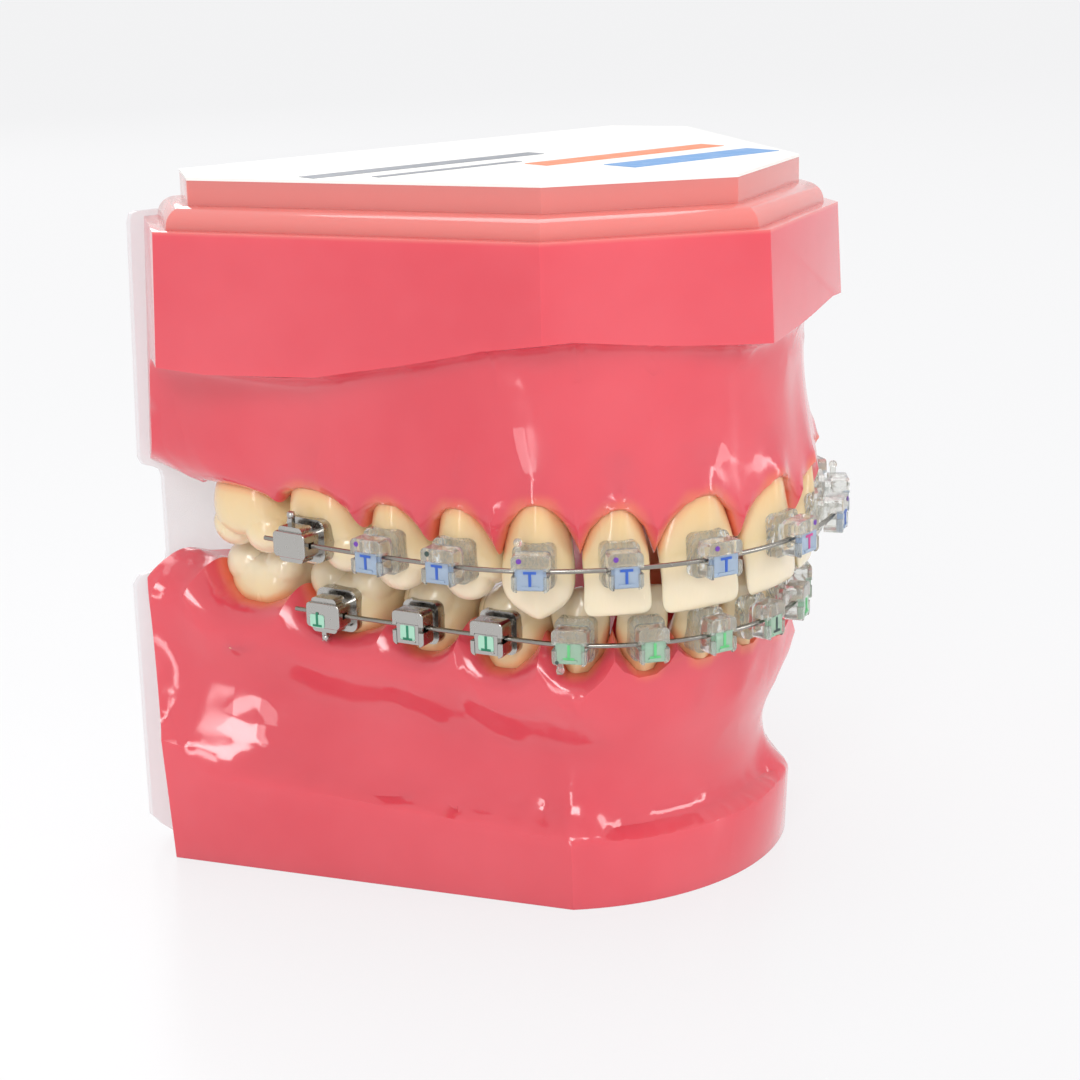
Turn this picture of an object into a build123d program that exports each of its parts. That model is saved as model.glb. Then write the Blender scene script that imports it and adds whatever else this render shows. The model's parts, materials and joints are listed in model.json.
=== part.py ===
from build123d import *
from math import copysign, cos, degrees, radians, sin, tan
import os

# Orthodontic demonstration model: two trimmed resin casts with set-in teeth, self-locking
# brackets, archwires and a clear hinge sheet. Millimetres, +Z up, front of the mouth towards -Y.
# Origin: centre of the lower cast's flat underside. The left half is built, the right mirrors it.

# Overall places
back_plane = 25.5          # flat backs of both casts, where the hinge sheet is glued
bite_level = 29.0          # height of the closing plane between the two tooth rows
fan_focus = -4.0           # gum sections fan out from here around the front of the mouth

# Upper cast, seen from above: half outline from the front point to the back
upper_front_y = -25.5
upper_corner = (17.8, -17.0)
upper_heel = (34.0, 15.0)
upper_back_x = 28.4
upper_draft = 2.5          # degrees, walls spread towards the teeth
block_top = 59.8
step_inset = 1.2
step_height = 1.9
step_round = 1.75
plinth_inset = 3.3
plinth_height = 2.15
vault_inset = 9.0          # the solid middle starts this far behind the tooth faces
trim_past = 1.5            # stock beyond the trimmed flats
label_thickness = 0.25
label_margin = 0.0
label_back = 1.2           # bare plinth behind the label

# Lower cast, seen from above
lower_front_y = -19.3
lower_corner = (13.7, -14.6)
lower_heel = (32.7, 20.4)
lower_back_x = 29.0
lower_draft = 3.0
lower_bow = 22.4           # radius of the rounded front wall

# Archwires: half arch from the midline as three tangent arcs
upper_arch = {"front": 24.9, "radii": (25.0, 18.5, 145.0), "turns": (51.5, 18.0, 17.0)}
lower_arch = {"front": 22.6, "radii": (18.6, 14.0, 300.0), "turns": (38.0, 29.0, 8.6)}
upper_wire_z = 32.6
lower_wire_z = 25.0
wire_diameter = 0.42
wire_tail = 1.6            # wire beyond the molar tube
bracket_reach = 1.9        # tooth face to wire axis
tooth_gap = 0.06           # daylight between neighbouring crowns

# Teeth from the midline backwards: width along the arch, depth, crown height below the gum
tooth_names = ("central", "lateral", "canine", "first_premolar", "second_premolar",
               "first_molar", "second_molar")
upper_widths = (9.2, 6.9, 7.4, 7.2, 7.0, 9.6, 9.8)
lower_widths = (5.6, 5.7, 6.5, 7.7, 7.9, 10.0, 9.8)
upper_depths = (6.6, 6.2, 7.8, 8.8, 8.8, 10.6, 10.4)
lower_depths = (5.8, 6.0, 7.4, 7.6, 8.2, 9.8, 9.6)
upper_tips = (-1.5, -1.2, -1.6, -0.6, -0.6, 0.2, 0.6)      # crown tips from the bite level
lower_tips = (-0.3, -0.3, 0.0, 0.2, 0.1, -0.4, -0.6)
root_length = 4.5
contact_depth = 2.2
contact_share = 0.96       # drawn half width, the rounded flanks swell to the contact

# Gum line: heights from the bite level towards each cast
upper_gum_peaks = (8.5, 8.1, 8.7, 8.0, 7.6, 8.0, 7.2)
lower_gum_peaks = (6.8, 7.2, 7.3, 7.6, 7.0, 6.3, 4.8)
upper_papillae = (3.9, 3.8, 4.1, 4.0, 4.5, 4.9, 6.0, 6.6)
lower_papillae = (4.2, 4.3, 3.6, 4.0, 3.6, 4.3, 2.6, 1.4)
upper_heel_gum = 7.9
lower_heel_gum = 0.6
# At each tooth contact and behind the last molar: wall edge, fold and swell of the gum
upper_wall = (21.6, 22.6, 23.0, 22.3, 20.6, 19.2, 18.7, 19.3, 19.6)
upper_fold = (-0.6, -1.0, -1.5, -1.2, -0.6, 0.2, 1.0, 1.6, 1.8)
upper_swell = (0.4, 0.5, 0.6, 0.7, 0.8, 1.1, 1.6, 2.4, 2.8)
lower_wall = (22.8, 22.8, 22.4, 21.6, 20.8, 19.4, 19.4, 17.0, 9.0)
lower_fold = (0.4, 0.4, 0.5, 0.6, 0.9, 1.4, 2.2, 3.4, 5.2)
lower_swell = (1.4, 1.5, 1.8, 1.8, 1.9, 2.2, 2.8, 4.0, 5.6)
upper_shelf = 1.2          # slope of the shelf between gum fold and wall
lower_shelf = 4.6
palate_height = 18.4
floor_height = 19.4
gum_toe = 13.0             # gum sections reach past the trimmed walls

# Brackets
pad_height = 3.9
pad_rim = 0.2              # pad past the wings on each side
upper_bracket_widths = (3.4, 3.0, 3.2, 3.2, 3.2)
lower_bracket_widths = (2.7, 2.7, 3.1, 3.2, 3.2)
pad_thickness = 0.55
pad_sink = 1.0             # pad reaches in to follow the tooth's face, the tooth trims it
wing_height = 3.2
wing_floor = -0.75
neck_height = 2.3
neck_step = 0.3            # wings stand out past the neck
rail = 0.5                 # side rails beside the door
face_height = 0.98
slot_width = 0.56
slot_depth = 0.36
door_length = 1.8
door_top = 0.42            # upper edge of the closed door, just past the slot
door_travel = 0.72
door_flange = 0.22         # door runs under the rails by this much
flange_seat = 0.42
flange_top = 0.64
door_play = 0.04
door_sink = 0.03           # door lies just below the wing faces
door_lip = 0.24
face_round = 0.12
hook_seat = -0.5
hook_radius = 0.24
hook_root = 0.3
hook_ball = 0.38
hook_length = 0.8
tube_length = 3.9

# Hinge sheet
sheet_thickness = 0.7
fold_z = 31.0
fold_gap = 0.9
sheet_top = 60.3
sheet_upper_half = 30.5
sheet_lower_half = 31.9
sheet_waist_half = 28.1
waist_low = 27.0
waist_high = 36.5
sheet_corner = 2.6

os.makedirs("parts", exist_ok=True)
nodes = {}


def keep(name, solid):
    print(name, solid.is_valid, len(solid.solids()), round(solid.volume, 1))
    solid.label = name
    nodes[name] = solid
    export_step(solid, f"parts/{name}.step")


def arch_wire(arch, inset, z=0.0):
    with BuildLine(Plane.XY.offset(z)) as half:
        front = JernArc((0, inset - arch["front"]), (1, 0), arch["radii"][0] - inset, arch["turns"][0])
        canine = JernArc(front @ 1, front % 1, arch["radii"][1] - inset, arch["turns"][1])
        JernArc(canine @ 1, canine % 1, arch["radii"][2] - inset, arch["turns"][2])
    return half.wires()[0]


def arch_point(face_line, s, outward=0.0):
    """Point and outward normal at arc length s from the midline along the tooth faces."""
    spot = face_line.position_at(s, position_mode=PositionMode.LENGTH)
    run = face_line.tangent_at(s, position_mode=PositionMode.LENGTH)
    normal = Vector(run.Y, -run.X, 0)
    return spot + normal * outward, normal


def tooth_spans(widths):
    edges = [0.0]
    for width in widths:
        edges.append(edges[-1] + width)
    return edges


def between(values, q):
    """Value at q, counted in teeth from the midline."""
    i = min(int(q), len(values) - 2)
    return values[i] + (values[i + 1] - values[i]) * (q - i)


def reach_back(face_line, s):
    """Arc length at which the tooth faces' line meets the back plane, searched from s."""
    for _ in range(6):
        spot = face_line.position_at(s, position_mode=PositionMode.LENGTH)
        s += (back_plane - spot.Y) / face_line.tangent_at(s, position_mode=PositionMode.LENGTH).Y
    return s


def gum_stations(face_line, widths, peaks, papillae, depths, heel_gum):
    """Section places along the arch: arc length, tooth count, edge share, gum line, depth."""
    edges = tooth_spans(widths)
    stations = []
    for i, width in enumerate(widths):
        centre = edges[i] + width / 2
        for share in (-1.0, -0.72, -0.28, 0.28, 0.72):
            rim = papillae[i] if share < 0 else papillae[i + 1]
            line = peaks[i] + (rim - peaks[i]) * abs(share) ** 2.6
            stations.append((centre + share * width / 2, i + 0.5 + share / 2, abs(share), line, depths[i]))
    last = len(widths)
    heel = reach_back(face_line, edges[-1]) + trim_past
    stations.append((edges[-1], last, 1.0, papillae[-1], depths[-1] - 0.8))
    stations.append(((edges[-1] + heel) / 2, last + 0.5, 1.0,
                     (papillae[-1] + heel_gum) / 2, depths[-1] - 1.4))
    stations.append((heel, last + 1.0, 1.0, heel_gum, depths[-1] - 2.0))
    across = [(-s, q, share, line, depth) for s, q, share, line, depth in stations[3:0:-1]]
    return across + stations


def gum_plane(face_line, s, up):
    spot = face_line.position_at(abs(s), position_mode=PositionMode.LENGTH)
    x = spot.X if s >= 0 else -spot.X
    out = Vector(x, min(spot.Y - fan_focus, 0), 0).normalized()
    rise = Vector(0, 0, up)
    return Plane(origin=(x, spot.Y, bite_level), x_dir=out, z_dir=out.cross(rise))


def gum_ridge(face_line, stations, up, wall, fold, swell, shelf, roof, top):
    """Gum from the outer wall over the tooth necks to the middle of the mouth."""
    with BuildPart() as ridge:
        for s, q, share, line, depth in stations:
            plane = gum_plane(face_line, s, up)
            edge_z = between(wall, q)
            fold_x = between(fold, q)
            swell_x = between(swell, q)
            dip = share * share
            back_line = line + (1.2 if share == 1.0 else 0.6)
            drop = min(shelf, (edge_z - line) / 3)
            low = edge_z - drop - min(1.8, (edge_z - line) / 5)
            high = line + min(3.0, (edge_z - line) / 3)
            outline = [
                (gum_toe, edge_z + 0.3),
                (fold_x + 3.0, edge_z - 0.25 * drop),
                (fold_x + 0.6, edge_z - drop),
                (fold_x, low),
                (0.5 * (fold_x + swell_x) - 0.2 * dip, 0.5 * (low + high)),
                (swell_x - 0.5 * dip, high),
                (0.7 * swell_x - 1.0 * dip, line + 1.1),
                (-0.3 - 1.3 * dip, line),
                (-2.6, line + 0.5),
                (1.4 - depth, back_line),
                (-depth - 0.3, back_line + 0.9),
                (-depth - 1.9, back_line + 4.2),
                (-depth - 3.7, 0.5 * (back_line + 4.2 + roof) + 0.6),
                (-depth - 5.6, roof + 1.8),
            ]
            with BuildSketch(plane):
                with BuildLine():
                    Spline(*outline, tangents=((-1, 0), (-0.7, 1)))
                    Polyline(outline[-1], (-depth - 5.6, top), (gum_toe, top), outline[0])
                make_face()
        loft(ruled=True)
    return ridge.part


def ring_points(front, back, half_width, squareness):
    """Horizontal section through a crown: outward along x, along the arch in y."""
    depth = front - back
    shoulder = 0.50 + 0.20 * squareness
    heel = 0.44 + 0.26 * squareness
    return [
        (front, 0),
        (front - 0.09 * depth, shoulder * half_width),
        (front - 0.36 * depth, half_width),
        (back + 0.16 * depth, heel * half_width),
        (back, 0),
        (back + 0.16 * depth, -heel * half_width),
        (front - 0.36 * depth, -half_width),
        (front - 0.09 * depth, -shoulder * half_width),
    ]


# Crown forms: share of the height from tip to gum line, width share, front and back in shares
# of the depth. The last rings are the neck and the root in the resin.
incisor_rings = (
    (0.000, 0.76, -0.115, -0.230),
    (0.025, 0.90, -0.075, -0.275),
    (0.150, 0.985, -0.035, -0.370),
    (0.420, 0.965, 0.000, -0.560),
    (0.740, 0.870, 0.005, -0.920),
    (1.000, 0.760, -0.040, -1.000),
)
canine_rings = (
    (0.000, 0.16, -0.200, -0.330),
    (0.050, 0.42, -0.140, -0.400),
    (0.220, 0.93, -0.060, -0.520),
    (0.450, 0.985, 0.000, -0.720),
    (0.740, 0.880, 0.010, -0.960),
    (1.000, 0.760, -0.035, -1.000),
)
premolar_rings = (
    (0.160, 0.55, -0.260, -0.740),
    (0.200, 0.80, -0.150, -0.860),
    (0.330, 0.97, -0.055, -0.960),
    (0.560, 0.975, 0.000, -1.010),
    (0.800, 0.860, 0.005, -1.000),
    (1.000, 0.760, -0.035, -0.960),
)
molar_rings = (
    (0.200, 0.70, -0.200, -0.800),
    (0.250, 0.86, -0.120, -0.890),
    (0.400, 0.97, -0.040, -0.970),
    (0.640, 0.975, 0.000, -1.010),
    (0.840, 0.900, 0.005, -1.000),
    (1.000, 0.840, -0.030, -0.960),
)
# Root stub in the resin: share of its length past the gum line, then as above
root_rings = ((0.40, 0.70, -0.09, -0.93), (1.00, 0.56, -0.20, -0.80))
# Cusps: outward and along-arch place as shares of depth and half width, radius share, height share
premolar_cusps = ((-0.30, 0.00, 0.72, 0.00), (-0.74, 0.00, 0.62, 0.17))
molar_cusps = ((-0.27, -0.46, 0.50, 0.00), (-0.27, 0.44, 0.48, 0.02),
               (-0.76, -0.44, 0.48, 0.05), (-0.76, 0.42, 0.44, 0.07))
crown_forms = ((incisor_rings, (), 0.1), (incisor_rings, (), 0.1), (canine_rings, (), 0.15),
               (premolar_rings, premolar_cusps, 0.45), (premolar_rings, premolar_cusps, 0.45),
               (molar_rings, molar_cusps, 0.95), (molar_rings, molar_cusps, 0.95))


def tooth(face_line, span, depth, tip, peak, form, up):
    """One tooth at its place, crown and root stub in one piece."""
    rings, cusps, squareness = form
    spot, normal = arch_point(face_line, (span[0] + span[1]) / 2)
    start, _ = arch_point(face_line, span[0], -contact_depth)
    end, _ = arch_point(face_line, span[1], -contact_depth)
    half_width = ((end - start).length - tooth_gap) * contact_share / 2
    height = peak - tip
    rise = Vector(0, 0, up)
    base = Plane(origin=(spot.X, spot.Y, bite_level + up * tip), x_dir=normal, z_dir=rise)
    with BuildPart() as piece:
        levels = [share * height for share, *_ in rings]
        levels += [height + share * root_length for share, *_ in root_rings]
        for level, (_, width, front, back) in zip(levels, rings + root_rings):
            with BuildSketch(base.offset(level)):
                with BuildLine():
                    Spline(*ring_points(front * depth, back * depth, width * half_width, squareness),
                           periodic=True)
                make_face()
        loft()
        for front, along, size, sink in cusps:
            radius = size * half_width
            with Locations(base.offset(sink * height + radius).location * Pos(front * depth, along * half_width)):
                Sphere(radius)
    return piece.part


def bracket_plane(face_line, s, wire_z):
    """Origin on the wire, x towards the back of the mouth, y up, z outward."""
    spot, normal = arch_point(face_line, s, bracket_reach)
    return Plane(origin=(spot.X, spot.Y, wire_z), x_dir=Vector(0, 0, 1).cross(normal), z_dir=normal)


def bracket_hook(plane, along, side, root):
    """Ball hook standing off towards the gum; for use inside a part."""
    with BuildPart() as hook:
        with BuildSketch(plane.offset(hook_seat)):
            with Locations((along, side * (root + hook_length / 2))):
                Rectangle(2 * hook_radius, hook_length + 2 * hook_root)
        extrude(amount=2 * hook_radius)
        with Locations(plane.location * Pos(along, side * (root + hook_length), hook_seat + hook_radius)):
            Sphere(hook_ball)
    return hook.part


def bracket_body(plane, seat, width, hook):
    """Pad, tie wings, wire slot and the open track of the sliding door."""
    track_end = door_top + door_play
    door_half = width / 2 - rail
    with BuildPart() as body:
        with BuildSketch(plane.offset(-bracket_reach - pad_sink)):
            RectangleRounded(width + 2 * pad_rim, pad_height, 0.7)
        extrude(amount=pad_sink + pad_thickness)
        with BuildSketch(plane.offset(-bracket_reach + pad_thickness / 2)):
            RectangleRounded(width - 2 * neck_step, neck_height, 0.4)
        extrude(amount=bracket_reach)
        with BuildSketch(plane.offset(wing_floor)):
            RectangleRounded(width, wing_height, 0.45)
        extrude(amount=face_height - wing_floor)
        fillet(body.faces().sort_by(Axis(plane.origin, plane.z_dir))[-1].edges(), face_round)
        with BuildSketch(plane.offset(-slot_depth)):
            Rectangle(2 * width, slot_width)
        extrude(amount=slot_depth + 2 * face_height, mode=Mode.SUBTRACT)
        with BuildSketch(plane.offset(slot_depth)):
            with Locations((0, track_end)):
                Rectangle(2 * (door_half + door_flange + door_play), 2 * wing_height,
                          align=(Align.CENTER, Align.MAX))
        extrude(amount=flange_top + door_play - slot_depth, mode=Mode.SUBTRACT)
        with BuildSketch(plane.offset(slot_depth)):
            with Locations((0, track_end)):
                Rectangle(2 * (door_half + door_play), 2 * wing_height, align=(Align.CENTER, Align.MAX))
        extrude(amount=2 * face_height, mode=Mode.SUBTRACT)
        add(seat, mode=Mode.SUBTRACT)
        if hook:
            add(bracket_hook(plane, width / 2 - 2 * hook_radius, hook, wing_height / 2))
    return body.part


def bracket_door(plane, width):
    door_half = width / 2 - rail
    with BuildPart() as door:
        with BuildSketch(plane.offset(flange_seat)):
            with Locations((0, door_top)):
                Rectangle(2 * (door_half + door_flange), door_length, align=(Align.CENTER, Align.MAX))
        extrude(amount=flange_top - flange_seat)
        with BuildSketch(plane.offset(flange_top)):
            with Locations((0, door_top)):
                Rectangle(2 * door_half, door_length, align=(Align.CENTER, Align.MAX))
        extrude(amount=face_height - door_sink - flange_top)
        with BuildSketch(plane.offset(face_height - door_sink)):
            with Locations((0, door_top - door_length + door_lip)):
                RectangleRounded(1.4 * door_half, door_lip, 0.1)
        extrude(amount=door_lip / 2)
    return door.part


def molar_tube(plane, seat, side):
    """Closed tube for the wire's end, with a hook on the gum side."""
    with BuildPart() as tube:
        with BuildSketch(plane.offset(-bracket_reach - pad_sink)):
            RectangleRounded(tube_length + 2 * pad_rim, pad_height, 0.8)
        extrude(amount=pad_sink + pad_thickness)
        with BuildSketch(plane.offset(-bracket_reach + pad_thickness / 2)):
            RectangleRounded(tube_length - neck_step, neck_height, 0.4)
        extrude(amount=bracket_reach - pad_thickness / 2 + face_height)
        fillet(tube.faces().sort_by(Axis(plane.origin, plane.z_dir))[-1].edges(), face_round)
        with BuildSketch(plane.offset(wing_floor)):
            RectangleRounded(tube_length - 1.2, wing_height, 0.4)
        extrude(amount=face_height - 0.3 - wing_floor)
        with BuildSketch(plane.offset(-slot_depth)):
            Rectangle(2 * tube_length, slot_width)
        extrude(amount=2 * slot_depth, mode=Mode.SUBTRACT)
        add(seat, mode=Mode.SUBTRACT)
        add(bracket_hook(plane, 0.6, side, wing_height / 2))
    return tube.part


def right_of(solid):
    with BuildPart() as twin:
        mirror(solid, about=Plane.YZ)
    return twin.part


def upper_outline(inset):
    with BuildSketch() as outline:
        with BuildLine():
            Polyline((0, upper_front_y), upper_corner, upper_heel, (upper_back_x, back_plane), (0, back_plane))
            mirror(about=Plane.YZ)
        make_face()
        if inset:
            offset(amount=-inset, kind=Kind.INTERSECTION, mode=Mode.REPLACE)
    return outline.sketch


def wall_cut(start, end, level, draft):
    """Everything outside one trimmed wall of the left half; positive draft spreads downwards."""
    run = Vector(end[0] - start[0], end[1] - start[1], 0).normalized()
    lean = radians(draft)
    normal = Vector(run.Y * cos(lean), -run.X * cos(lean), sin(lean))
    with BuildPart(Plane(origin=(*start, level), x_dir=run, z_dir=normal)) as cutter:
        Box(160, 160, 60, align=(Align.CENTER, Align.CENTER, Align.MIN))
    return cutter.part


def bow_cut():
    """Everything in front of the lower cast's rounded front wall."""
    spread = bite_level * tan(radians(lower_draft))
    with BuildPart() as cutter:
        with Locations((0, -8, 0)):
            Box(160, 60, bite_level, align=(Align.CENTER, Align.MAX, Align.MIN))
        with Locations((0, lower_front_y + lower_bow, 0)):
            Cone(lower_bow, lower_bow + spread, bite_level,
                 align=(Align.CENTER, Align.CENTER, Align.MIN), mode=Mode.SUBTRACT)
    return cutter.part


def cast_half(ridge, face_line_inset, far, roof, walls, teeth):
    """Left half of a cast: gum and the resin above the mouth's roof, trimmed flat all round.
    far is the outer flat of the block, roof the height of the palate or the tongue's floor."""
    beyond = far + copysign(trim_past, far - roof)
    with BuildPart() as half:
        add(ridge)
        with BuildSketch(Plane.XY.offset(roof)):
            with BuildLine():
                add(face_line_inset)
                inner, outer = face_line_inset @ 0, face_line_inset @ 1
                Polyline(outer, (-trim_past, outer.Y), (-trim_past, inner.Y), inner)
            make_face()
        extrude(amount=beyond - roof)
        Box(100, 160, 160, align=(Align.MAX, Align.CENTER, Align.CENTER), mode=Mode.SUBTRACT)
        with Locations((0, 0, far)):
            Box(160, 160, 40, align=(Align.CENTER, Align.CENTER, Align.MIN if far > roof else Align.MAX),
                mode=Mode.SUBTRACT)
        for wall in walls:
            add(wall, mode=Mode.SUBTRACT)
        with Locations((0, back_plane, 0)):
            Box(160, 60, 160, align=(Align.CENTER, Align.MIN, Align.CENTER), mode=Mode.SUBTRACT)
        for one in teeth:
            add(one, mode=Mode.SUBTRACT)
    return half.part


def tooth_row(face_line, widths, depths, tips, peaks, up):
    edges = tooth_spans(widths)
    return [tooth(face_line, (edges[i], edges[i + 1]), depths[i], tips[i], peaks[i], crown_forms[i], up)
            for i in range(len(widths))]


def archwire(arch, widths, z):
    """Round wire from molar tube to molar tube along the tangent arcs of the tooth row."""
    inner = [radius - bracket_reach for radius in arch["radii"]]
    molar = sum(widths[:5]) + widths[5] / 2
    run = molar + tube_length / 2 + wire_tail
    run -= inner[0] * radians(arch["turns"][0]) + inner[1] * radians(arch["turns"][1])
    turns = arch["turns"][:2] + (degrees(run / inner[2]),)
    path = arch_wire({**arch, "turns": turns}, 0.0, z)
    with BuildPart() as wire:
        with BuildSketch(Plane(origin=path @ 0, z_dir=path % 0)):
            Circle(wire_diameter / 2)
        sweep(path=path)
        mirror(about=Plane.YZ)
    return wire.part


def tooth_group(teeth):
    with BuildPart() as group:
        for one in teeth:
            add(one)
        mirror(about=Plane.YZ)
    return group.part


def half_sheet(points):
    """One leaf of the hinge sheet on the flat backs."""
    with BuildPart() as leaf:
        with BuildSketch(Plane(origin=(0, back_plane, 0), x_dir=(-1, 0, 0), z_dir=(0, 1, 0))) as cut:
            with BuildLine():
                Polyline((0, points[0][1]), *points, (0, points[-1][1]))
                mirror(about=Plane.YZ)
            make_face()
            corners = [v for v in cut.vertices() if fold_gap < abs(v.Z - fold_z)]
            fillet(corners, 0.8)
        extrude(amount=sheet_thickness)
    return leaf.part


upper_faces = arch_wire(upper_arch, bracket_reach)
lower_faces = arch_wire(lower_arch, bracket_reach)
upper_teeth = tooth_row(upper_faces, upper_widths, upper_depths, upper_tips, upper_gum_peaks, 1)
lower_teeth = tooth_row(lower_faces, lower_widths, lower_depths, lower_tips, lower_gum_peaks, -1)
groups = {"incisors": (0, 2), "canines": (2, 3), "premolars": (3, 5), "molars": (5, 7)}
rows = {"upper": {}, "lower": {}}
for jaw, teeth in (("upper", upper_teeth), ("lower", lower_teeth)):
    for kind, (first, end) in groups.items():
        rows[jaw][kind] = tooth_group(teeth[first:end])
        keep(f"teeth_{jaw}_{kind}", rows[jaw][kind])

# Upper cast
upper_points = [(0, upper_front_y), upper_corner, upper_heel, (upper_back_x, back_plane)]
upper_ridge = gum_ridge(upper_faces, gum_stations(upper_faces, upper_widths, upper_gum_peaks, upper_papillae, upper_depths,
                                                  upper_heel_gum),
                        1, upper_wall, upper_fold, upper_swell, upper_shelf, palate_height,
                        block_top - bite_level + trim_past / 2)
upper_half = cast_half(upper_ridge, arch_wire(upper_arch, bracket_reach + vault_inset),
                       block_top, bite_level + palate_height,
                       [wall_cut(a, b, block_top, upper_draft) for a, b in zip(upper_points, upper_points[1:])],
                       upper_teeth)
with BuildPart() as upper_cast:
    add(upper_half)
    mirror(about=Plane.YZ)
    with BuildSketch(Plane.XY.offset(block_top)):
        add(upper_outline(step_inset))
    extrude(amount=step_height)
    fillet(upper_cast.faces().sort_by(Axis.Z)[-1].edges(), step_round)
    with BuildSketch(Plane.XY.offset(block_top)):
        add(upper_outline(plinth_inset))
    extrude(amount=step_height + plinth_height)
keep("upper_base", upper_cast.part)

# Lower cast
lower_points = [lower_corner, lower_heel, (lower_back_x, back_plane)]
lower_ridge = gum_ridge(lower_faces, gum_stations(lower_faces, lower_widths, lower_gum_peaks, lower_papillae, lower_depths,
                                                  lower_heel_gum),
                        -1, lower_wall, lower_fold, lower_swell, lower_shelf, floor_height,
                        bite_level + trim_past / 2)
lower_half = cast_half(lower_ridge, arch_wire(lower_arch, bracket_reach + vault_inset),
                       0, bite_level - floor_height,
                       [bow_cut()] + [wall_cut(a, b, 0, -lower_draft)
                                      for a, b in zip(lower_points, lower_points[1:])],
                       lower_teeth)
with BuildPart() as lower_cast:
    add(lower_half)
    mirror(about=Plane.YZ)
keep("lower_base", lower_cast.part)

# Label on the plinth
with BuildPart() as label:
    with BuildSketch(Plane.XY.offset(block_top + step_height + plinth_height)):
        add(upper_outline(plinth_inset + label_margin))
        with Locations((0, back_plane)):
            Rectangle(200, 2 * label_back, mode=Mode.SUBTRACT)
    extrude(amount=label_thickness)
keep("label", label.part)

# Brackets, doors and tubes
for jaw, face_line, widths, teeth, wire_z, gum_side, bracket_widths in (
        ("upper", upper_faces, upper_widths, upper_teeth, upper_wire_z, 1, upper_bracket_widths),
        ("lower", lower_faces, lower_widths, lower_teeth, lower_wire_z, -1, lower_bracket_widths)):
    edges = tooth_spans(widths)
    for i in range(6):
        plane = bracket_plane(face_line, (edges[i] + edges[i + 1]) / 2, wire_z)
        if i == 5:
            pieces = {"tube": molar_tube(plane, teeth[i], gum_side)}
        else:
            hook = gum_side if i == 2 else 0
            pieces = {"bracket": bracket_body(plane, teeth[i], bracket_widths[i], hook),
                      "door": bracket_door(plane, bracket_widths[i])}
        for kind, piece in pieces.items():
            keep(f"{kind}_{jaw}_left_{tooth_names[i]}", piece)
            keep(f"{kind}_{jaw}_right_{tooth_names[i]}", right_of(piece))

keep("upper_archwire", archwire(upper_arch, upper_widths, upper_wire_z))
keep("lower_archwire", archwire(lower_arch, lower_widths, lower_wire_z))

keep("hinge_upper_leaf", half_sheet([(sheet_waist_half, fold_z + fold_gap / 2), (sheet_waist_half, waist_high),
                                     (sheet_upper_half, waist_high + 0.6), (sheet_upper_half - 0.7, sheet_top)]))
keep("hinge_lower_leaf", half_sheet([(sheet_waist_half, fold_z - fold_gap / 2), (sheet_waist_half, waist_low),
                                     (sheet_lower_half, waist_low - 1.0), (sheet_lower_half, sheet_corner),
                                     (sheet_lower_half - sheet_corner, 0)]))
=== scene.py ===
import json
from math import cos, pi, radians, sin

import bmesh
import bpy
from mathutils import Matrix, Vector
from mathutils.bvhtree import BVHTree


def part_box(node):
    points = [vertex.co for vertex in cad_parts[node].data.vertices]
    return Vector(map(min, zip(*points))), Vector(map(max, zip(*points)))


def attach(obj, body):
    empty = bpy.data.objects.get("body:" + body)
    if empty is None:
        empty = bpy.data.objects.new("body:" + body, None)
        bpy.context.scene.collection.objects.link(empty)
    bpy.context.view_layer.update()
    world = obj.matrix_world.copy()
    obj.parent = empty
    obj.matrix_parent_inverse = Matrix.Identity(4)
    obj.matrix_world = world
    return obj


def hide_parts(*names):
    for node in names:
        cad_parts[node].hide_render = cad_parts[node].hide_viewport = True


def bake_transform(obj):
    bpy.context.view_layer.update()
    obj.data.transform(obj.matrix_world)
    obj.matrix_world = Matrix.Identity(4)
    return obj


mm = 0.001
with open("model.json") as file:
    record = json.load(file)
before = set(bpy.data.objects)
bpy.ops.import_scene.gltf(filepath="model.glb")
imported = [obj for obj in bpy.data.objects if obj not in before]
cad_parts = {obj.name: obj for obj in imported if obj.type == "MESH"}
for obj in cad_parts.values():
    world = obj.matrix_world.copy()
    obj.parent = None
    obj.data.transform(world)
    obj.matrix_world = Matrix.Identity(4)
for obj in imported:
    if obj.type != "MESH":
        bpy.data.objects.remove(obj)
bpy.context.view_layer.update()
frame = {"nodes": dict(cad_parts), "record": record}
nodes = frame["nodes"]
bodyOf = {node: body for body, names in frame["record"]["behaviour"]["bodies"].items() for node in names}
print("frame loaded:", len(nodes), "pieces of casts, teeth and brackets")

biteLevel = 29.0 * mm
wireLevel = {"upper": 32.6 * mm, "lower": 25.0 * mm}
mouthCentre = Vector((0, 4 * mm, 0))     # brackets and teeth face away from here


def tone(red, green, blue):
    # screen colour 0-255 as the shader's linear value
    steps = [c / 255 for c in (red, green, blue)]
    return tuple(c / 12.92 if c <= 0.04045 else ((c + 0.055) / 1.055) ** 2.4 for c in steps) + (1.0,)


def newGroup(name, inputs, outputs):
    group = bpy.data.node_groups.new(name, "ShaderNodeTree")
    for socket, kind, value in inputs:
        made = group.interface.new_socket(socket, in_out="INPUT", socket_type=kind)
        if value is not None:
            made.default_value = value
    for socket, kind in outputs:
        group.interface.new_socket(socket, in_out="OUTPUT", socket_type=kind)
    return group, group.nodes.new("NodeGroupInput"), group.nodes.new("NodeGroupOutput")


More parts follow.
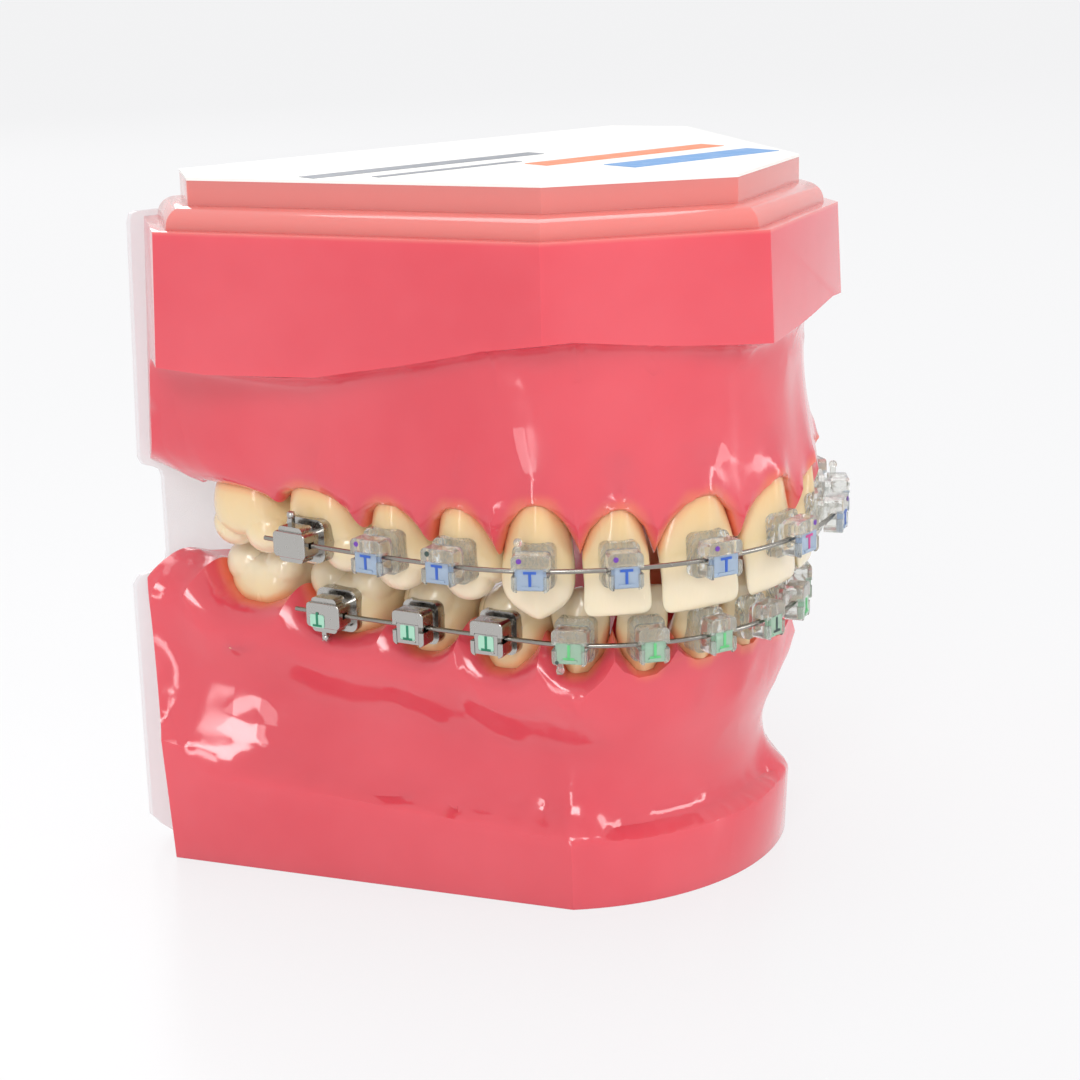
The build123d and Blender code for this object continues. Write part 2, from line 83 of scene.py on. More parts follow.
def makeFlowGroup():
    # soft cloudy mask, as in cast resin and moulded teeth
    group, given, out = newGroup("softFlow", [
        ("Vector", "NodeSocketVector", None), ("Scale", "NodeSocketFloat", 60.0),
        ("Stretch", "NodeSocketFloat", 1.0), ("Detail", "NodeSocketFloat", 3.0),
        ("Low", "NodeSocketFloat", 0.0), ("High", "NodeSocketFloat", 1.0)],
        [("Mask", "NodeSocketFloat")])
    link = group.links.new
    stretch = group.nodes.new("ShaderNodeCombineXYZ")
    stretch.inputs[0].default_value = stretch.inputs[1].default_value = 1.0
    scaled = group.nodes.new("ShaderNodeVectorMath")
    scaled.operation = "MULTIPLY"
    noise = group.nodes.new("ShaderNodeTexNoise")
    spread = group.nodes.new("ShaderNodeMapRange")
    spread.inputs["From Min"].default_value = 0.3
    spread.inputs["From Max"].default_value = 0.7
    link(given.outputs["Stretch"], stretch.inputs[2])
    link(given.outputs["Vector"], scaled.inputs[0])
    link(stretch.outputs[0], scaled.inputs[1])
    link(scaled.outputs[0], noise.inputs["Vector"])
    link(given.outputs["Scale"], noise.inputs["Scale"])
    link(given.outputs["Detail"], noise.inputs["Detail"])
    link(noise.outputs["Fac"], spread.inputs["Value"])
    link(given.outputs["Low"], spread.inputs["To Min"])
    link(given.outputs["High"], spread.inputs["To Max"])
    link(spread.outputs["Result"], out.inputs["Mask"])
    return group


def makeLevelGroup():
    # 0 to 1 between two heights, or by distance from a height
    group, given, out = newGroup("levelMask", [
        ("Vector", "NodeSocketVector", None), ("Centre", "NodeSocketFloat", 0.0),
        ("Near", "NodeSocketFloat", 0.0), ("Far", "NodeSocketFloat", 0.01)],
        [("Mask", "NodeSocketFloat")])
    link = group.links.new
    split = group.nodes.new("ShaderNodeSeparateXYZ")
    offset = group.nodes.new("ShaderNodeMath")
    offset.operation = "SUBTRACT"
    distance = group.nodes.new("ShaderNodeMath")
    distance.operation = "ABSOLUTE"
    ramp = group.nodes.new("ShaderNodeMapRange")
    ramp.interpolation_type = "SMOOTHSTEP"
    link(given.outputs["Vector"], split.inputs[0])
    link(split.outputs["Z"], offset.inputs[0])
    link(given.outputs["Centre"], offset.inputs[1])
    link(offset.outputs[0], distance.inputs[0])
    link(distance.outputs[0], ramp.inputs["Value"])
    link(given.outputs["Near"], ramp.inputs["From Min"])
    link(given.outputs["Far"], ramp.inputs["From Max"])
    link(ramp.outputs["Result"], out.inputs["Mask"])
    return group


def makeNearGroup():
    # 1 beside a neighbour, 0 away from it, from a stored distance
    group, given, out = newGroup("nearMask", [
        ("Distance", "NodeSocketFloat", 0.0), ("Near", "NodeSocketFloat", 0.0), ("Far", "NodeSocketFloat", 0.002)],
        [("Mask", "NodeSocketFloat")])
    ramp = group.nodes.new("ShaderNodeMapRange")
    ramp.interpolation_type = "SMOOTHSTEP"
    ramp.inputs["To Min"].default_value = 1.0
    ramp.inputs["To Max"].default_value = 0.0
    group.links.new(given.outputs["Distance"], ramp.inputs["Value"])
    group.links.new(given.outputs["Near"], ramp.inputs["From Min"])
    group.links.new(given.outputs["Far"], ramp.inputs["From Max"])
    group.links.new(ramp.outputs["Result"], out.inputs["Mask"])
    return group


softFlow = makeFlowGroup()
levelMask = makeLevelGroup()
nearMask = makeNearGroup()


class Finish:
    # one material with its Principled shader and the object's own coordinates
    def __init__(self, name, **values):
        self.material = bpy.data.materials.new(name)
        self.material.use_nodes = True
        self.tree = self.material.node_tree
        self.shader = self.tree.nodes["Principled BSDF"]
        self.place = self.tree.nodes.new("ShaderNodeTexCoord").outputs["Object"]
        for socket, value in values.items():
            self.shader.inputs[socket.replace("_", " ")].default_value = value

    def group(self, tree, **values):
        node = self.tree.nodes.new("ShaderNodeGroup")
        node.node_tree = tree
        for socket, value in values.items():
            node.inputs[socket].default_value = value
        self.tree.links.new(self.place, node.inputs["Vector"])
        return node.outputs["Mask"]

    def beside(self, near, far):
        stored = self.tree.nodes.new("ShaderNodeAttribute")
        stored.attribute_name = "neighbour"
        node = self.tree.nodes.new("ShaderNodeGroup")
        node.node_tree = nearMask
        node.inputs["Near"].default_value = near
        node.inputs["Far"].default_value = far
        self.tree.links.new(stored.outputs["Fac"], node.inputs["Distance"])
        return node.outputs["Mask"]

    def addShare(self, first, second, share):
        node = self.tree.nodes.new("ShaderNodeMath")
        node.operation = "MULTIPLY_ADD"
        node.inputs[1].default_value = share
        self.tree.links.new(second, node.inputs[0])
        self.tree.links.new(first, node.inputs[2])
        return node.outputs[0]

    def mix(self, mask, first, second):
        node = self.tree.nodes.new("ShaderNodeMix")
        node.data_type = "RGBA"
        for socket, value in ((node.inputs[6], first), (node.inputs[7], second)):
            if isinstance(value, bpy.types.NodeSocket):
                self.tree.links.new(value, socket)
            else:
                socket.default_value = value
        self.tree.links.new(mask, node.inputs[0])
        return node.outputs[2]

    def feed(self, socket, value):
        self.tree.links.new(value, self.shader.inputs[socket])

    def bump(self, height, distance, strength=1.0):
        node = self.tree.nodes.new("ShaderNodeBump")
        node.inputs["Distance"].default_value = distance
        node.inputs["Strength"].default_value = strength
        self.tree.links.new(height, node.inputs["Height"])
        self.feed("Normal", node.outputs["Normal"])


resinLook = {
    "body": tone(217, 80, 92),
    "deep": tone(210, 66, 80),
    "salmon": tone(216, 120, 114),
    "neckGlow": tone(226, 112, 84),        # painted glow: warm light round the tooth necks
    "neckGlowNear": 0.1 * mm,
    "neckGlowFar": 1.5 * mm,
    "wave": 0.30 * mm,                   # height of the gum's soft waves
    "grainShare": 0.04,                  # fine grain as a share of the waves
    # the paler plinth or base lies within Near of Centre; the gum's waves end blockEdge from the bite
    "zones": {
        "upper": {"paleCentre": 66 * mm, "paleNear": 6.0 * mm, "paleFar": 6.6 * mm, "blockEdge": 18 * mm},
        "lower": {"paleCentre": -60 * mm, "paleNear": 10 * mm, "paleFar": 20 * mm, "blockEdge": 16 * mm},
    },
}


def makeResin(name, paleCentre, paleNear, paleFar, blockEdge):
    resin = Finish(name, Roughness=0.14, IOR=1.49, Coat_Weight=0.5, Coat_Roughness=0.03,
                   Subsurface_Weight=0.3, Subsurface_Scale=3 * mm, Subsurface_Radius=(1.0, 0.35, 0.3))
    cloud = resin.group(softFlow, Scale=70.0, Low=0.0, High=1.0)
    colour = resin.mix(cloud, resinLook["body"], resinLook["deep"])
    pale = resin.group(levelMask, Centre=paleCentre, Near=paleNear, Far=paleFar)
    colour = resin.mix(pale, resinLook["salmon"], colour)
    # painted glow: a warm tint on the gum beside the teeth stands in for their light
    neckGlow = resin.beside(resinLook["neckGlowNear"], resinLook["neckGlowFar"])
    resin.feed("Base Color", resin.mix(neckGlow, colour, resinLook["neckGlow"]))
    resin.feed("Roughness", resin.group(softFlow, Scale=220.0, Low=0.06, High=0.2))
    gum = resin.group(levelMask, Centre=biteLevel, Near=blockEdge + 3 * mm, Far=blockEdge - 2 * mm)
    waves = resin.group(softFlow, Scale=170.0, Stretch=0.4, Detail=0.4, Low=0.0)
    resin.tree.links.new(gum, waves.node.inputs["High"])
    grain = resin.group(softFlow, Scale=300.0, Detail=1.0)
    resin.bump(resin.addShare(waves, grain, resinLook["grainShare"]), resinLook["wave"])
    return resin.material


toothLook = {
    "edge": tone(226, 212, 184),
    "body": tone(224, 202, 158),
    "neck": tone(226, 182, 124),
    "glow": tone(230, 174, 126),         # the gum's colour seen through the tooth
    "glowZone": (0.05 * mm, 0.9 * mm),   # distances from the gum
    "bodyZone": (0.5 * mm, 4.0 * mm),    # distances from the bite level
    "neckZone": (3.5 * mm, 10.0 * mm),
}


def makeTooth():
    tooth = Finish("ivoryTooth", Roughness=0.2, IOR=1.52, Coat_Weight=0.4, Coat_Roughness=0.05,
                   Subsurface_Weight=0.3, Subsurface_Scale=2.0 * mm, Subsurface_Radius=(1.0, 0.7, 0.4))
    near, far = toothLook["neckZone"]
    toNeck = tooth.group(levelMask, Centre=biteLevel, Near=near, Far=far)
    near, far = toothLook["bodyZone"]
    toBody = tooth.group(levelMask, Centre=biteLevel, Near=near, Far=far)
    crown = tooth.mix(toBody, toothLook["edge"], toothLook["body"])
    crown = tooth.mix(toNeck, crown, toothLook["neck"])
    tooth.feed("Base Color", tooth.mix(tooth.beside(*toothLook["glowZone"]), crown, toothLook["glow"]))
    tooth.feed("Roughness", tooth.group(softFlow, Scale=400.0, Stretch=0.3, Low=0.12, High=0.28))
    tooth.bump(tooth.group(softFlow, Scale=700.0, Stretch=0.25), 0.05 * mm, 0.5)
    return tooth.material


def makeSteel(name, colour, low, high, scale, pitting):
    steel = Finish(name, Base_Color=colour, Metallic=1.0)
    steel.feed("Roughness", steel.group(softFlow, Scale=scale, Low=low, High=high))
    steel.bump(steel.group(softFlow, Scale=scale), pitting, 0.6)
    return steel.material


def makeClear(name, colour, transmission, roughness):
    clear = Finish(name, Base_Color=colour, Transmission_Weight=transmission, IOR=1.45, Coat_Weight=0.3)
    clear.feed("Roughness", clear.group(softFlow, Scale=900.0, Low=roughness, High=roughness + 0.12))
    clear.bump(clear.group(softFlow, Scale=1500.0), 0.01 * mm, 0.4)
    return clear.material


def makeSheetFilm():
    film = Finish("clearSheet", Base_Color=tone(226, 222, 226), IOR=1.5, Alpha=0.28)
    film.feed("Roughness", film.group(softFlow, Scale=90.0, Low=0.06, High=0.16))
    film.bump(film.group(softFlow, Scale=60.0), 0.2 * mm, 0.4)
    return film.material


def makePrint(name, colour):
    ink = Finish(name, Base_Color=colour)
    ink.feed("Roughness", ink.group(softFlow, Scale=700.0, Low=0.35, High=0.55))
    return ink.material


upperResin = makeResin("upperPinkResin", **resinLook["zones"]["upper"])
lowerResin = makeResin("lowerPinkResin", **resinLook["zones"]["lower"])
ivoryTooth = makeTooth()
bracketSteel = makeSteel("bracketSteel", tone(182, 180, 176), low=0.12, high=0.34, scale=1100.0, pitting=0.025 * mm)
wireSteel = makeSteel("wireSteel", tone(150, 147, 140), low=0.15, high=0.28, scale=2500.0, pitting=0.01 * mm)
clearCeramic = makeClear("clearCeramic", tone(240, 242, 238), transmission=0.86, roughness=0.08)
clearDoors = {"upper": makeClear("blueClearDoor", tone(196, 216, 240), transmission=0.6, roughness=0.06),
              "lower": makeClear("greenClearDoor", tone(196, 232, 208), transmission=0.6, roughness=0.06)}
clearSheet = makeSheetFilm()
labelFilm = makePrint("labelFilm", tone(238, 236, 232))
inks = {
    "blue": makePrint("blueInk", tone(44, 88, 178)),
    "purple": makePrint("purpleInk", tone(104, 52, 158)),
    "magenta": makePrint("magentaInk", tone(190, 60, 132)),
    "green": makePrint("greenInk", tone(96, 190, 120)),
    "deepGreen": makePrint("deepGreenInk", tone(34, 124, 92)),
    "dark": makePrint("darkInk", tone(52, 70, 66)),
    "mint": makePrint("mintPanel", tone(160, 208, 184)),
    "orange": makePrint("orangeInk", tone(232, 128, 84)),
    "blueField": makePrint("blueField", tone(96, 150, 206)),
    "grey": makePrint("greyInk", tone(132, 136, 144)),
}
print("finishes made")


def newPiece(name, mesh, material, body=None):
    piece = bpy.data.objects.new(name, mesh)
    bpy.context.scene.collection.objects.link(piece)
    mesh.materials.clear()
    mesh.materials.append(material)
    if body:
        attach(piece, body)
    return piece


def joined(*names):
    # the solids' loose triangles, joined up
    work = bmesh.new()
    for name in names:
        work.from_mesh(nodes[name].data)
    bmesh.ops.remove_doubles(work, verts=work.verts, dist=0.002 * mm)
    bmesh.ops.dissolve_degenerate(work, edges=work.edges, dist=0.001 * mm)
    return work


def shownAs(node, work, material, angle):
    # soft shading up to the angle, and the new piece in the solid's stead
    limit = radians(angle)
    for face in work.faces:
        face.smooth = True
    for edge in work.edges:
        edge.smooth = len(edge.link_faces) == 2 and edge.calc_face_angle(pi) < limit
    mesh = bpy.data.meshes.new(node + "_mesh")
    work.to_mesh(mesh)
    work.free()
    piece = newPiece(node + "_look", mesh, material, bodyOf[node])
    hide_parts(node)
    return piece


def smoothed(node, material, angle=32.0, bevel=0.0):
    piece = shownAs(node, joined(node), material, angle)
    if bevel:
        rounding = piece.modifiers.new("fine edges", "BEVEL")
        rounding.width = bevel
        rounding.segments = 2
        rounding.limit_method = "ANGLE"
        rounding.angle_limit = radians(45)
    return piece


def storeDistance(piece, tree, reach):
    # how far each point lies from the neighbouring pieces
    gaps = []
    for vertex in piece.data.vertices:
        gap = tree.find_nearest(vertex.co, reach)[3]
        gaps.append(reach if gap is None else gap)
    piece.data.attributes.new("neighbour", "FLOAT", "POINT").data.foreach_set("value", gaps)


castLook = {
    "edgeRound": 0.30 * mm,              # worn edges of the trimmed block
    "edgeTurn": radians(25),             # block edges sharper than this are rounded
    "flatTurn": radians(0.4),            # block faces flatter than this become one
    "blockFrom": {"upper": 46.5 * mm, "lower": -1.0 * mm},
    "gumZone": {"upper": (30.0 * mm, 45.0 * mm), "lower": (11.0 * mm, 28.0 * mm)},
    "softTurn": radians(30),
    "keepRound": 0.5 * mm,               # gum this near to a tooth stays as cast
    "passes": 12,                        # smoothing passes: gum, hollows and after each cover of the roots
    "hollowPasses": {"upper": 24, "lower": 10},
    "coverPasses": (2, 3),
    "socketGap": 0.06 * mm,
    "rootCover": 0.55 * mm,              # resin left over a root when the gum is hollowed
    "rootSearch": (6 * mm, 3 * mm),      # looked for this deep, and from this far outside
    "facesOut": 0.15,                    # how squarely a point of the outer gum faces outwards
    "glowReach": 4 * mm,                 # distances to a neighbour are stored up to here
    "shading": 33.0,
}

ledgeLook = {
    # the lower plinth's rim, a plane that rises to the back, and the hollow above it
    "frontY": -14.0 * mm,
    "frontHeight": 7.0 * mm,
    "rise": 0.075,
    # heights above the rim in mm, where the gum gets a row of points
    "rows": [-0.9, -0.45, 0.0, 0.55, 1.3, 2.3, 3.6, 5.0, 6.6, 8.4, 10.4, 12.6],
    "fineEdge": 1.1 * mm,                # longer edges are halved
    "fineCuts": 2,
    "frontDepth": 2.5 * mm,
    "sideDepth": 2.7 * mm,
    "frontToSide": (-12 * mm, -2 * mm),  # y, from the front depth to the side depth
    "heel": (19.0 * mm, 12.0 * mm),      # y, the hollow ends between these places
    "fullTo": 4.0 * mm,                  # heights above the rim
    "fadeTo": 13.5 * mm,
    "rimBand": (-0.5 * mm, 0.3 * mm),    # softened to a round edge
    "blockGap": 0.1 * mm,                # the block's faces end this far below the band
    "rimFacing": 0.1,
    "rimPasses": 3,
}

fluteLook = {
    # shallow hollows between the upper roots
    "from": 36.5 * mm,
    "full": (39.5 * mm, 44.0 * mm),
    "to": 47.5 * mm,
    "depth": 0.9 * mm,
    "heel": (16.0 * mm, 8.0 * mm),       # y, the hollows end between these places
}


def outwardAt(place):
    # level direction away from the mouth, sideways behind the front teeth
    return Vector((place.x, min(place.y + 4 * mm, 0), 0)).normalized()


def ramp(value, start, end):
    # smooth 0 to 1 from start to end
    share = min(max((value - start) / (end - start), 0.0), 1.0)
    return share * share * (3 - 2 * share)


def aboveRim(place):
    return place.z - ledgeLook["frontHeight"] - ledgeLook["rise"] * (place.y - ledgeLook["frontY"])


def ledgeDepth(place):
    look = ledgeLook
    up = aboveRim(place)
    if up < 0.02 * mm or up > look["fadeTo"]:
        return 0.0
    depth = look["frontDepth"] + (look["sideDepth"] - look["frontDepth"]) * ramp(place.y, *look["frontToSide"])
    return depth * ramp(place.y, *look["heel"]) * (1 - ramp(up, look["fullTo"], look["fadeTo"]))


def fluteDepth(place):
    look = fluteLook
    height = ramp(place.z, look["from"], look["full"][0]) * (1 - ramp(place.z, look["full"][1], look["to"]))
    return look["depth"] * height * ramp(place.y, *look["heel"])


def cutRimRows(work):
    # rows of finer faces round the rim, for the ledge and its hollow
    look = ledgeLook
    low, high = look["rimBand"][0], look["fadeTo"]
    normal = Vector((0, -look["rise"], 1)).normalized()
    for up in look["rows"]:
        everything = work.verts[:] + work.edges[:] + work.faces[:]
        bmesh.ops.bisect_plane(work, geom=everything, dist=0.001 * mm, plane_no=normal,
                               plane_co=(0, look["frontY"], look["frontHeight"] + up * mm))
    for _ in range(look["fineCuts"]):
        wide = [e for e in work.edges if e.calc_length() > look["fineEdge"]
                and all(low < aboveRim(v.co) < high for v in e.verts)]
        bmesh.ops.subdivide_edges(work, edges=wide, cuts=1)
    uneven = [f for f in work.faces if len(f.verts) > 3 and aboveRim(f.verts[0].co) > low]
    bmesh.ops.triangulate(work, faces=uneven)


def hollow(work, depthAt, toothTree):
    # outer gum pushed in, but never through to a root
    work.normal_update()
    moved = []
    for vertex in work.verts:
        depth = depthAt(vertex.co)
        if depth < 0.01 * mm:
            continue
        out = outwardAt(vertex.co)
        if vertex.normal.dot(out) < castLook["facesOut"]:
            continue
        gap = toothTree.ray_cast(vertex.co, -out, castLook["rootSearch"][0])[3]
        if gap is not None:
            depth = min(depth, max(gap - castLook["rootCover"], 0.0))
        moved.append((vertex, out * depth))
    for vertex, push in moved:
        vertex.co -= push
    return [vertex for vertex, push in moved]


def coverRoots(verts, toothTree):
    # gum that sank into a root goes back over it
    outside = castLook["rootSearch"][1]
    reach = outside + castLook["rootCover"]
    for vertex in verts:
        out = outwardAt(vertex.co)
        if vertex.normal.dot(out) > castLook["facesOut"]:
            gap = toothTree.ray_cast(vertex.co + out * outside, -out, reach)[3]
            if gap is not None:
                vertex.co += out * (reach - gap)


def relax(work, verts, passes):
    for _ in range(passes):
        bmesh.ops.smooth_vert(work, verts=verts, factor=0.5, use_axis_x=True, use_axis_y=True, use_axis_z=True)


def crownsOf(teeth, castTree):
    # the tooth faces that stand out of the gum
    work = joined(*teeth)
    buried = [v for v in work.verts if castTree.find_nearest(v.co, castLook["socketGap"])[0] is not None]
    bmesh.ops.delete(work, geom=buried, context="VERTS")
    tree = BVHTree.FromBMesh(work)
    work.free()
    return tree


def shapeGum(work, jaw, crownTree, toothTree):
    # hollows over the rim or between the roots, a soft skin and a round rim
    look = castLook
    if jaw == "lower":
        cutRimRows(work)
    work.normal_update()
    low, high = look["gumZone"][jaw]
    soft = [v for v in work.verts if low < v.co.z < high
            and crownTree.find_nearest(v.co, look["keepRound"])[0] is None
            and all(len(e.link_faces) == 2 and e.calc_face_angle(pi) < look["softTurn"] for e in v.link_edges)]
    pushed = hollow(work, ledgeDepth if jaw == "lower" else fluteDepth, toothTree)
    rim = []
    if jaw == "lower":
        low, high = ledgeLook["rimBand"]
        pushed = [v for v in pushed if aboveRim(v.co) > high]
        rim = [v for v in work.verts if low < aboveRim(v.co) < high and v.co.y < ledgeLook["heel"][0]
               and v.normal.dot(outwardAt(v.co)) > ledgeLook["rimFacing"]]
    relax(work, pushed, look["hollowPasses"][jaw])
    relax(work, soft, look["passes"])
    relax(work, rim, ledgeLook["rimPasses"])
    work.normal_update()
    coverRoots(list(dict.fromkeys(soft + pushed)), toothTree)
    relax(work, pushed, look["coverPasses"][0])
    coverRoots(pushed, toothTree)
    relax(work, pushed, look["coverPasses"][1])
    return len(soft)


def roundBlock(work, jaw):
    # the trimmed block's flats made whole and its edges worn round
    look = castLook
    rimFoot = ledgeLook["rimBand"][0] - ledgeLook["blockGap"]

    def inBlock(vertex):
        return vertex.co.z > look["blockFrom"][jaw] and (jaw == "upper" or aboveRim(vertex.co) < rimFoot)

    block = [v for v in work.verts if inBlock(v)]
    bmesh.ops.dissolve_limit(work, angle_limit=look["flatTurn"], verts=block,
                             edges=[e for e in work.edges if all(inBlock(v) for v in e.verts)])
    corners = [e for e in work.edges if all(inBlock(v) for v in e.verts)
               and len(e.link_faces) == 2 and e.is_convex and e.calc_face_angle(0) > look["edgeTurn"]]
    bmesh.ops.bevel(work, geom=corners, offset=look["edgeRound"], offset_type="OFFSET", segments=3, profile=0.5,
                    affect="EDGES", clamp_overlap=True, material=-1)
    return len(corners)


def dressCast(jaw, material):
    look = castLook
    node = jaw + "_base"
    teeth = [name for name in sorted(nodes) if name.startswith("teeth_" + jaw)]
    work = joined(node)
    castTree = BVHTree.FromBMesh(work)
    crownTree = crownsOf(teeth, castTree)
    rows = joined(*teeth)
    toothTree = BVHTree.FromBMesh(rows)
    rows.free()

    softened = shapeGum(work, jaw, crownTree, toothTree)
    rounded = roundBlock(work, jaw)
    print(node, "softened", softened, "points,", rounded, "block edges rounded")
    piece = shownAs(node, work, material, look["shading"])
    storeDistance(piece, crownTree, look["glowReach"])
    for name in teeth:
        row = smoothed(name, ivoryTooth, angle=50.0)
        storeDistance(row, castTree, look["glowReach"])


dressCast("upper", upperResin)
dressCast("lower", lowerResin)
print("casts and teeth dressed")

# these teeth carry clear brackets, the others steel ones
clearTeeth = {"upper": ("central", "lateral", "canine", "first_premolar", "second_premolar"),
              "lower": ("central", "lateral", "canine")}

for node in sorted(nodes):
    if node.endswith("archwire"):
        smoothed(node, wireSteel, angle=60.0)
    elif node.startswith(("bracket_", "door_", "tube_")):
        kind, jaw, side, tooth = node.split("_", 3)
        clear = kind != "tube" and tooth in clearTeeth[jaw]
        material = (clearDoors[jaw] if kind == "door" else clearCeramic) if clear else bracketSteel
        smoothed(node, material, bevel=0.05 * mm)
print("brackets, doors and wires dressed")


def facing(node):
    # the middle of a piece's outer face, its direction away from the midline and its outward normal
    points = [v.co for v in nodes[node].data.vertices]
    low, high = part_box(node)
    middle = (low + high) / 2
    # its longer side in plan, found by turning a direction through the spread of its points
    xx = sum((p.x - middle.x) ** 2 for p in points)
    yy = sum((p.y - middle.y) ** 2 for p in points)
    xy = sum((p.x - middle.x) * (p.y - middle.y) for p in points)
    along = Vector((1, 0, 0))
    for _ in range(60):
        along = Vector((xx * along.x + xy * along.y, xy * along.x + yy * along.y, 0)).normalized()
    out = Vector((along.y, -along.x, 0))
    if out.dot(middle - mouthCentre) < 0:
        out = -out
    if along.x * middle.x + along.y * 0.02 < 0:
        along = -along
    spread = [p.dot(along) for p in points]
    reach = max(p.dot(out) for p in points)
    across = (min(spread) + max(spread)) / 2
    return along * across + out * reach, along, out


def placed(face, along, out, across, height):
    turn = Matrix((along, out.cross(along), out)).transposed().to_4x4()
    spot = face + along * across
    return Matrix.Translation((spot.x, spot.y, height)) @ turn


def addPlate(work, place, width, height, depth):
    bmesh.ops.create_cube(work, size=1.0, matrix=place @ Matrix.Diagonal((width, height, depth, 1.0)))


def addDot(work, place, radius, depth):
    bmesh.ops.create_cone(work, cap_ends=True, segments=20, radius1=radius, radius2=radius, depth=depth, matrix=place)


def finishPrint(name, work, ink, body):
    bmesh.ops.recalc_face_normals(work, faces=work.faces)
    mesh = bpy.data.meshes.new(name)
    work.to_mesh(mesh)
    work.free()
    return newPiece(name, mesh, inks[ink], body)


markLook = {
    "ink": 0.05 * mm,                    # thickness of the printed colour
    "lip": 0.12 * mm,                    # the door's lip stands out past its face
    "doorPanel": (1.5 * mm, 1.36 * mm, -0.36 * mm),     # width, height and middle above the wire
    "upperT": [(1.1 * mm, 0.22 * mm, 0.14 * mm), (0.24 * mm, 1.1 * mm, -0.5 * mm)],
    "lowerT": [(0.24 * mm, 1.2 * mm, -0.3 * mm), (0.95 * mm, 0.2 * mm, -0.93 * mm)],
    "upperDot": (0.9 * mm, 1.12 * mm, 0.23 * mm),       # across, above the wire, radius
    "lowerDot": (1.05 * mm, -1.3 * mm, 0.17 * mm),
    "wingDrop": 0.09 * mm,               # wing face to the lip's top
    "tubePanel": (1.5 * mm, 1.2 * mm, -0.5 * mm),
    "tubeShift": 0.6 * mm,               # along the tube from its middle
    "panelRound": 0.18 * mm,
    "markProud": 0.3,                    # mark above its panel, as a share of the ink
}


def printT(name, jaw, ink, body, face, along, out, across=0.0):
    work = bmesh.new()
    for width, height, lift in markLook[jaw + "T"]:
        addPlate(work, placed(face, along, out, across, wireLevel[jaw] + lift), width, height, markLook["ink"])
    finishPrint(name, work, ink, body)


def printPanel(name, jaw, size, body, face, along, out, across=0.0):
    work = bmesh.new()
    width, height, lift = size
    addPlate(work, placed(face, along, out, across, wireLevel[jaw] + lift), width, height, markLook["ink"] * 0.5)
    upright = [e for e in work.edges if abs((e.verts[0].co - e.verts[1].co).normalized().dot(out)) > 0.9]
    bmesh.ops.bevel(work, geom=upright, offset=markLook["panelRound"], segments=3, profile=0.5,
                    affect="EDGES", material=-1)
    finishPrint(name, work, "mint", body)


def markInk(jaw, side, tooth):
    if tooth not in clearTeeth[jaw]:
        return "deepGreen"
    if side == "left" and tooth == "central":
        return "magenta" if jaw == "upper" else "dark"
    return "blue" if jaw == "upper" else "green"


def printMarks():
    look = markLook
    for node in sorted(nodes):
        if not node.startswith(("door_", "tube_")):
            continue
        kind, jaw, side, tooth = node.split("_", 3)
        face, along, out = facing(node)
        proud = out * look["ink"] * look["markProud"]
        if kind == "tube":
            printPanel("panel_" + node, jaw, look["tubePanel"], jaw, face, along, out, look["tubeShift"])
            printT("mark_" + node, jaw, "deepGreen", jaw, face + proud, along, out, look["tubeShift"])
            continue
        doorFace = face - out * look["lip"]
        if tooth not in clearTeeth[jaw]:
            printPanel("panel_" + node, jaw, look["doorPanel"], bodyOf[node], doorFace, along, out)
        printT("mark_" + node, jaw, markInk(jaw, side, tooth), bodyOf[node], doorFace + proud, along, out)
        if jaw == "upper" or tooth == "canine":
            wingFace = face - out * look["wingDrop"]
            across, height, radius = look[jaw + "Dot"]
            work = bmesh.new()
            addDot(work, placed(wingFace, along, out, across, wireLevel[jaw] + height), radius, look["ink"])
            finishPrint("dot_" + node, work, "dark" if jaw == "lower" or tooth == "first_premolar" else "purple", jaw)


printMarks()
print("bracket marks printed")

sheetLook = {
    # height and half width in mm: lower leaf, waist at the fold, upper leaf
    "rows": [(0.0, 29.3), (1.2, 30.7), (2.6, 31.9), (25.6, 31.9), (26.4, 31.2), (26.7, 29.2), (27.4, 28.3)]
            + [(28.2 + 0.8 * i, 28.1) for i in range(10)]
            + [(36.1, 28.3), (36.6, 29.2), (36.9, 30.1), (37.6, 30.5), (59.4, 29.85), (60.1, 29.6), (60.3, 29.1)],
    "glueGap": 0.04 * mm,                # keeps the sheet's face clear of the casts
    "thickness": 0.64 * mm,
    "foldLow": 29.2 * mm,                # heights of the fold
    "foldHigh": 32.8 * mm,
}


def makeHingeSheet():
    look = sheetLook
    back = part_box("hinge_lower_leaf")[0].y
    work = bmesh.new()
    bmesh.ops.create_grid(work, x_segments=8, y_segments=len(look["rows"]) - 1, size=1.0)
    for vertex in work.verts:
        row = round((vertex.co.y + 1) / 2 * (len(look["rows"]) - 1))
        height, half = look["rows"][row]
        vertex.co = Vector((vertex.co.x * half * mm, back + look["glueGap"], height * mm))
    bmesh.ops.recalc_face_normals(work, faces=work.faces)
    walls = bmesh.ops.extrude_face_region(work, geom=work.faces[:])
    grown = [v for v in walls["geom"] if isinstance(v, bmesh.types.BMVert)]
    bmesh.ops.translate(work, verts=grown, vec=(0, look["thickness"], 0))
    bmesh.ops.recalc_face_normals(work, faces=work.faces)
    mesh = bpy.data.meshes.new("hingeSheet")
    work.to_mesh(mesh)
    work.free()
    sheet = newPiece("hinge_sheet", mesh, clearSheet)
    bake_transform(sheet)
    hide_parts("hinge_lower_leaf", "hinge_upper_leaf")


makeHingeSheet()
print("hinge sheet made")

labelLook = {
    "lift": 0.04 * mm,
    # colour, middle x and y, width and depth in mm, all on the label's top
    "bars": [("grey", -11.0, 6.0, 26.0, 2.2), ("orange", 6.0, -2.0, 22.0, 3.0), ("blueField", 7.5, -9.0, 18.0, 4.0),
             ("grey", -12.0, 1.5, 16.0, 1.0)],
}


